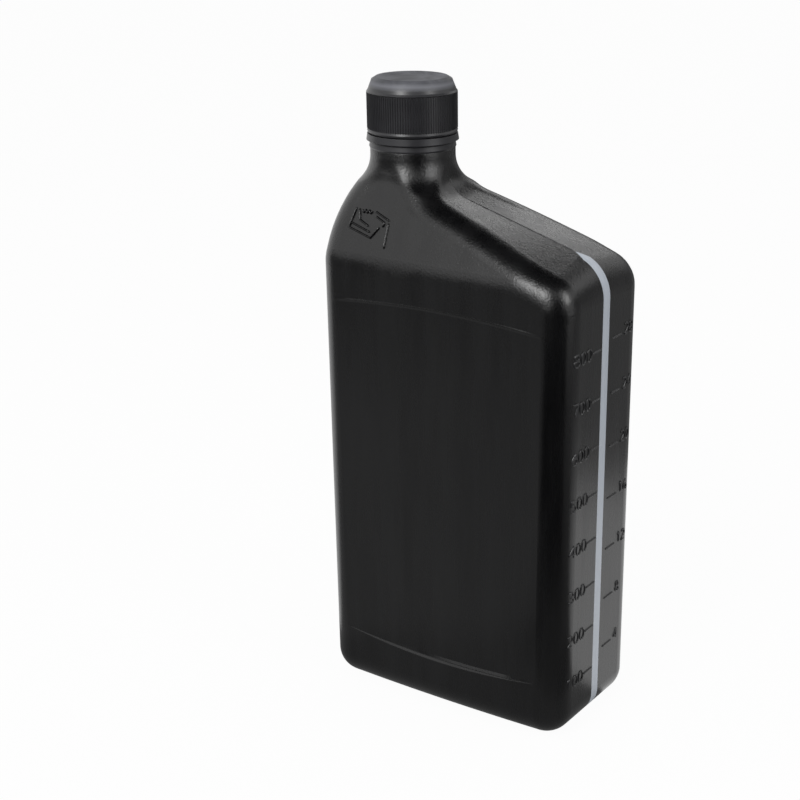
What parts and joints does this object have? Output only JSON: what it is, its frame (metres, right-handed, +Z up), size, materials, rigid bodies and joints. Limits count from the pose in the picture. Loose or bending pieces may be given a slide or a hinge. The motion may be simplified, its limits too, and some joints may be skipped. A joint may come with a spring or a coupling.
{
  "type": "oil bottle",
  "caption": "Rectangular blow-moulded oil bottle with an offset neck, a clear view stripe down one narrow side and a ribbed screw cap over a tamper band.",
  "frame": {"origin": "middle of the footprint, on the surface that the bottle stands on", "axes": "+Z up; +X along the width, towards the view stripe, so the neck is on the -X side; the front with the pouring sign faces -Y"},
  "size_m": [0.107, 0.059, 0.236],
  "materials": {
    "black_body": "satin blow-moulded HDPE",
    "clear_stripe": "unpigmented, hazy HDPE",
    "black_cap": "satin injection-moulded polypropylene",
    "pale_liner": "matt foamed polyethylene"
  },
  "bodies": {
    "bottle": {"bottle_body": "black_body", "view_stripe": "clear_stripe", "tamper_band": "black_cap"},
    "liner": {"cap_liner": "pale_liner"},
    "cap": {"cap": "black_cap"}
  },
  "joints": [
    {"name": "cap_rise", "type": "slide", "parent": "bottle", "child": "liner", "axis": [0, 0, 1], "range_m": [0, 0.0201]},
    {"name": "cap_turn", "type": "hinge", "parent": "liner", "child": "cap", "pos_m": [-0.0284, 0, 0.22], "axis": [0, 0, 1], "range_deg": [0, 1800]}
  ],
  "couplings": [
    {"joint": "cap_rise", "follows": "cap_turn", "m_per_rad": 0.00063662}
  ]
}
